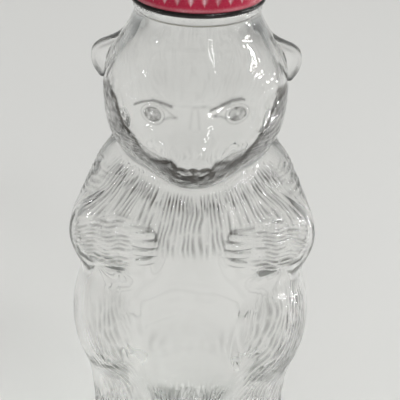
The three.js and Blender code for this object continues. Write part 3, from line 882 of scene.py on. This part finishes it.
for inset, sunk in panel_profile:
    radius = skirt_radius - top_corner - inset
    cap_rings.append(round_ring(radius, cap_top - panel_step * sunk, cap_angles))
    top_marks.append(0.6 * hill(sunk, 0.1, 0.2) * (inset > panel_bead))
for radius in (0.7 * panel_edge, 0.35 * panel_edge):
    cap_rings.append(round_ring(radius, cap_top - panel_step * 0.95, cap_bore_angles))
cap_rings.append(np.array([[0, 0, cap_top - panel_step * 0.9]]))
for mark in top_marks:
    pale_wear_and_sheen = np.concatenate([pale_wear_and_sheen, np.full(len(cap_angles), mark)])
pale_wear_and_sheen = np.concatenate([pale_wear_and_sheen, np.zeros(2 * len(cap_bore_angles) + 1)])
fluted_cap = ring_mesh("fluted_cap", cap_rings, pale_wear_and_sheen)


def mottle_group():
    """Fine uneven spots, as in lacquer, board and paper: a mask from 0 to 1 and a height for bumps."""
    group = bpy.data.node_groups.new("fine_mottle", "ShaderNodeTree")
    group.interface.new_socket("Spot Size", in_out="INPUT", socket_type="NodeSocketFloat")
    group.interface.new_socket("Stretch", in_out="INPUT", socket_type="NodeSocketVector")
    group.interface.new_socket("Mask", in_out="OUTPUT", socket_type="NodeSocketFloat")
    group.interface.new_socket("Height", in_out="OUTPUT", socket_type="NodeSocketFloat")
    made, wire = group.nodes, group.links
    given, result = made.new("NodeGroupInput"), made.new("NodeGroupOutput")
    place, stretched = made.new("ShaderNodeTexCoord"), made.new("ShaderNodeVectorMath")
    stretched.operation = "MULTIPLY"
    per_metre = made.new("ShaderNodeMath")
    per_metre.operation = "DIVIDE"
    per_metre.inputs[0].default_value = 1.0
    spots, levels = made.new("ShaderNodeTexNoise"), made.new("ShaderNodeMapRange")
    spots.inputs["Detail"].default_value = 4.0
    levels.inputs["From Min"].default_value = 0.35
    levels.inputs["From Max"].default_value = 0.65
    wire.new(place.outputs["Object"], stretched.inputs[0])
    wire.new(given.outputs["Stretch"], stretched.inputs[1])
    wire.new(given.outputs["Spot Size"], per_metre.inputs[1])
    wire.new(stretched.outputs[0], spots.inputs["Vector"])
    wire.new(per_metre.outputs[0], spots.inputs["Scale"])
    wire.new(spots.outputs["Fac"], levels.inputs["Value"])
    wire.new(levels.outputs["Result"], result.inputs["Mask"])
    wire.new(spots.outputs["Fac"], result.inputs["Height"])
    return group


fine_mottle = mottle_group()


def add_mottle(nodes, spot_size, stretch=(1, 1, 1)):
    mottle = nodes.new("ShaderNodeGroup")
    mottle.node_tree = fine_mottle
    mottle.inputs["Spot Size"].default_value = spot_size
    mottle.inputs["Stretch"].default_value = stretch
    return mottle


def add_ramp(nodes, links, source, low, high, low_value, high_value):
    """Maps a varying value between two limits to another pair."""
    made = nodes.new("ShaderNodeMapRange")
    made.inputs["From Min"].default_value = low
    made.inputs["From Max"].default_value = high
    made.inputs["To Min"].default_value = low_value
    made.inputs["To Max"].default_value = high_value
    links.new(source, made.inputs["Value"])
    return made.outputs["Result"]


def add_mix(nodes, links, share, first, second):
    """A colour mixed from two by a varying share; each is a colour or another node's output."""
    made = nodes.new("ShaderNodeMix")
    made.data_type = "RGBA"
    links.new(share, made.inputs["Factor"])
    for socket, colour in (("A", first), ("B", second)):
        target = next(s for s in made.inputs if s.name == socket and s.type == "RGBA")
        if isinstance(colour, tuple):
            target.default_value = (*colour, 1)
        else:
            links.new(colour, target)
    return next(s for s in made.outputs if s.type == "RGBA")


def add_roughness(nodes, links, shader, height, smoothest, roughest):
    """Roughness that follows the heights of a mottle."""
    varying = add_ramp(nodes, links, height, 0.3, 0.7, smoothest, roughest)
    links.new(varying, shader.inputs["Roughness"])


def add_bump(nodes, links, shader, height, strength, depth):
    made = nodes.new("ShaderNodeBump")
    made.inputs["Strength"].default_value = strength
    made.inputs["Distance"].default_value = depth
    links.new(height, made.inputs["Height"])
    links.new(made.outputs["Normal"], shader.inputs["Normal"])


red_lacquer, nodes, links, shader = new_material("red_lacquer")
cap_red = (0.38, 0.006, 0.040)
cap_red_deep = (0.32, 0.004, 0.032)
cap_worn_and_sheen = (0.90, 0.74, 0.76)
curl_dark_and_shade = (0.012, 0.010, 0.009)
patches = add_mottle(nodes, 6 * MM)
specks = add_mottle(nodes, 0.5 * MM)
# Pale paint on the grooves, the band's bulge and the top corner: wear, and on the grooves and the bulge
# painted highlight
sheen_and_wear_marks = nodes.new("ShaderNodeAttribute")
sheen_and_wear_marks.attribute_name = "wear_and_painted_light"
lacquer_wear_sheen = nodes.new("ShaderNodeMath")
lacquer_wear_sheen.operation = "MULTIPLY"
links.new(sheen_and_wear_marks.outputs["Fac"], lacquer_wear_sheen.inputs[0])
links.new(add_ramp(nodes, links, specks.outputs["Mask"], 0.0, 1.0, 0.6, 1.0), lacquer_wear_sheen.inputs[1])
lacquer = add_mix(nodes, links, patches.outputs["Mask"], cap_red_deep, cap_red)
lacquer = add_mix(nodes, links, lacquer_wear_sheen.outputs[0], lacquer, cap_worn_and_sheen)
place = nodes.new("ShaderNodeTexCoord")
split = nodes.new("ShaderNodeSeparateXYZ")
links.new(place.outputs["Object"], split.inputs["Vector"])
# The curl is coloured near black, and its dark colour runs just above it onto the skirt as painted shade
curl_shade_top = (rim_bottom + curl_height + 0.35) * MM
curl_fade = 0.25 * MM
curl_and_shade_share = add_ramp(nodes, links, split.outputs["Z"], curl_shade_top - curl_fade, curl_shade_top + curl_fade, 1.0, 0.0)
finish_colour = add_mix(nodes, links, curl_and_shade_share, lacquer, curl_dark_and_shade)
links.new(finish_colour, shader.inputs["Base Color"])
add_roughness(nodes, links, shader, specks.outputs["Height"], 0.2, 0.3)
add_bump(nodes, links, shader, patches.outputs["Height"], 0.1, 0.1 * MM)
shader.inputs["Coat Weight"].default_value = 0.3
shader.inputs["Coat Roughness"].default_value = 0.14
shader.inputs["Specular IOR Level"].default_value = 0.25

bare_tin, nodes, links, shader = new_material("bare_tin")
drawn_lines = add_mottle(nodes, 1.2 * MM, (1, 1, 8))
tin = add_mix(nodes, links, drawn_lines.outputs["Mask"], (0.62, 0.58, 0.48), (0.72, 0.68, 0.57))
links.new(tin, shader.inputs["Base Color"])
add_roughness(nodes, links, shader, drawn_lines.outputs["Height"], 0.24, 0.4)
shader.inputs["Metallic"].default_value = 1.0
fluted_cap.data.materials.append(red_lacquer)
fluted_cap.data.materials.append(bare_tin)
for face_of_cap in fluted_cap.data.polygons:
    if max(face_of_cap.vertices) < inside_points:
        face_of_cap.material_index = 1
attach(fluted_cap, "cap")
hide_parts("cap_shell")


# Liner board: a disc punched from grey pulp board, pressed into the top of the cap, where it backs the
# facing and gives the seal its spring.

disc_angles = np.linspace(0, 2 * math.pi, 144, endpoint=False)


def punched_disc(name, node, edge_radius, dish):
    """A punched disc with softened edges; dish(radius) raises its lower face."""
    low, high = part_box(node)
    radius, bottom, top = high.x / MM, low.z / MM, high.z / MM
    burr = 0.06 * soft_noise(disc_angles * 14, disc_angles * 0 + 3, 9)
    rings = [np.array([[0, 0, bottom]])]
    for r in np.linspace(0.06, 0.985, 60) * radius:
        rings.append(round_ring(r, bottom + dish(r), disc_angles))
    for bend in np.radians([30, 60, 90]):
        inset = edge_radius * (1 - math.sin(bend))
        rise = edge_radius * (1 - math.cos(bend))
        rings.append(round_ring(radius - burr - inset, bottom + rise, disc_angles))
    for bend in np.radians([0, 30, 60, 90]):
        inset = edge_radius * (1 - math.cos(bend))
        drop = edge_radius * (1 - math.sin(bend))
        rings.append(round_ring(radius - burr - inset, top - drop, disc_angles))
    rings.append(round_ring(radius * 0.5, top, disc_angles))
    rings.append(np.array([[0, 0, top]]))
    return ring_mesh(name, rings)


board_disc = punched_disc("board_disc", "liner_board", 0.2, lambda r: 0.0)
grey_board, nodes, links, shader = new_material("grey_board")
fibres = add_mottle(nodes, 0.7 * MM, (1, 4, 1))
flecks = add_mottle(nodes, 0.25 * MM)
board_tone = add_mix(nodes, links, fibres.outputs["Mask"], (0.36, 0.32, 0.26), (0.47, 0.43, 0.36))
board_tone = add_mix(nodes, links, flecks.outputs["Mask"], board_tone, (0.42, 0.38, 0.31))
links.new(board_tone, shader.inputs["Base Color"])
add_roughness(nodes, links, shader, flecks.outputs["Height"], 0.8, 0.95)
add_bump(nodes, links, shader, fibres.outputs["Height"], 0.5, 0.08 * MM)
board_disc.data.materials.append(grey_board)
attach(board_disc, "liner")
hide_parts("liner_board")


# Liner facing: a thin disc of white waxed paper under the board. The lip of the bottle has pressed a
# shallow ring into it.

seal_radius = (finish_radius + bore_radius) / 2
facing_disc = punched_disc("facing_disc", "liner_facing", 0.08, lambda r: 0.07 * hill(r, seal_radius, 1.0))
waxed_paper, nodes, links, shader = new_material("waxed_paper")
fibres = add_mottle(nodes, 1.1 * MM, (5, 1, 1))
paper_tone = add_mix(nodes, links, fibres.outputs["Mask"], (0.70, 0.69, 0.65), (0.78, 0.77, 0.73))
links.new(paper_tone, shader.inputs["Base Color"])
add_roughness(nodes, links, shader, fibres.outputs["Height"], 0.34, 0.5)
add_bump(nodes, links, shader, fibres.outputs["Height"], 0.3, 0.04 * MM)
facing_disc.data.materials.append(waxed_paper)
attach(facing_disc, "liner")
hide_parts("liner_facing")


# Floor and light: a plain pale floor in a room that is pale near the ground and dim overhead. Five windows
# of small panes give the glints, and wide soft lamps above, in front and behind give the light.

floor_mesh = bpy.data.meshes.new("floor")
edge = 4.0
corners = [(-edge, -edge, 0), (edge, -edge, 0), (edge, edge, 0), (-edge, edge, 0)]
floor_mesh.from_pydata(corners, [], [(0, 1, 2, 3)])
floor = bpy.data.objects.new("floor", floor_mesh)
bpy.context.collection.objects.link(floor)
floor_paint, nodes, links, shader = new_material("floor_paint")
shader.inputs["Base Color"].default_value = (0.63, 0.63, 0.61, 1)
shader.inputs["Roughness"].default_value = 0.7
floor_mesh.materials.append(floor_paint)

bear_middle = Vector((0, 0, 0.1))


def soft_light(name, place, size, power, mirrored=True):
    """An area lamp that faces the bear; one that isn't mirrored lights it without a glint."""
    lamp = bpy.data.lights.new(name, "AREA")
    lamp.shape = "RECTANGLE"
    lamp.size, lamp.size_y = size
    lamp.energy = power
    lamp_object = bpy.data.objects.new(name, lamp)
    bpy.context.collection.objects.link(lamp_object)
    away = Vector(place) - bear_middle
    facing = away.to_track_quat("Z", "Y").to_matrix().to_4x4()
    lamp_object.matrix_world = Matrix.Translation(place) @ facing
    lamp_object.visible_camera = False
    lamp_object.visible_glossy = mirrored
    lamp_object.visible_transmission = mirrored


def paned_window(name, place, pane, gap, columns, rows, power):
    """A window of small panes that faces the bear and shares its power among them."""
    away = (Vector(place) - bear_middle).normalized()
    turn = away.to_track_quat("Z", "Y")
    for column in range(columns):
        for row in range(rows):
            right = (column - (columns - 1) / 2) * (pane[0] + gap)
            up = (row - (rows - 1) / 2) * (pane[1] + gap)
            pane_place = Vector(place) + turn @ Vector((right, up, 0))
            soft_light(f"{name}_{column}_{row}", pane_place, pane, power / (columns * rows))


paned_window("side_window", (1.05, -0.05, 0.45), (0.03, 0.035), 0.06, 3, 3, 2.4)
paned_window("low_window", (0.60, 0.16, 0.05), (0.012, 0.012), 0.09, 3, 3, 0.7)
paned_window("high_window", (0.42, -0.3, 1.0), (0.035, 0.045), 0.035, 2, 2, 1.4)
paned_window("front_window", (0.36, -0.66, 0.78), (0.03, 0.04), 0.03, 2, 2, 1.2)
paned_window("left_window", (-0.9, -0.35, 0.5), (0.03, 0.04), 0.03, 2, 1, 0.4)
soft_light("front_fill", (0.0, -1.2, 0.6), (0.8, 0.5), 4, mirrored=False)
soft_light("ceiling", (0.0, 0.3, 3.0), (9.0, 9.0), 175, mirrored=False)
soft_light("back_light", (-0.1, 0.8, 0.9), (0.9, 0.4), 3)

world = bpy.context.scene.world or bpy.data.worlds.new("room")
bpy.context.scene.world = world
world.use_nodes = True
room_nodes = world.node_tree.nodes
room_links = world.node_tree.links
direction = room_nodes.new("ShaderNodeTexCoord")
split = room_nodes.new("ShaderNodeSeparateXYZ")
room_tone = room_nodes.new("ShaderNodeValToRGB")
room_links.new(direction.outputs["Generated"], split.inputs["Vector"])
room_links.new(split.outputs["Z"], room_tone.inputs["Fac"])
room_links.new(room_tone.outputs["Color"], room_nodes["Background"].inputs["Color"])
room_tone.color_ramp.elements[0].position = 0.05
room_tone.color_ramp.elements[0].color = (0.42, 0.43, 0.42, 1)
room_tone.color_ramp.elements[1].position = 0.35
room_tone.color_ramp.elements[1].color = (0.07, 0.07, 0.07, 1)

camera_data = bpy.data.cameras.new("camera")
camera = bpy.data.objects.new("camera", camera_data)
bpy.context.collection.objects.link(camera)
bpy.context.scene.camera = camera
elevation = math.radians(27.5)
roll = math.radians(1.45)
distance = 0.461
aim = Vector((0, 0, 0.1022))
image_width = 400
focal_length_px = 1338
axis_column = 192.8
camera_place = aim + Vector((0, -math.cos(elevation), math.sin(elevation))) * distance
look = (aim - camera_place).to_track_quat("-Z", "Y").to_matrix().to_4x4()
camera.matrix_world = Matrix.Translation(camera_place) @ look @ Matrix.Rotation(roll, 4, "Z")
camera_data.sensor_width = 36
camera_data.lens = focal_length_px / image_width * camera_data.sensor_width
camera_data.shift_x = (image_width / 2 - axis_column) / image_width
camera_data.clip_start = 0.01

# Light turns back many times inside a glass wall before it leaves
glass_bounces = 32
bpy.context.scene.cycles.max_bounces = glass_bounces
bpy.context.scene.cycles.glossy_bounces = glass_bounces
bpy.context.scene.cycles.transmission_bounces = glass_bounces

bpy.context.scene.view_settings.view_transform = "Standard"
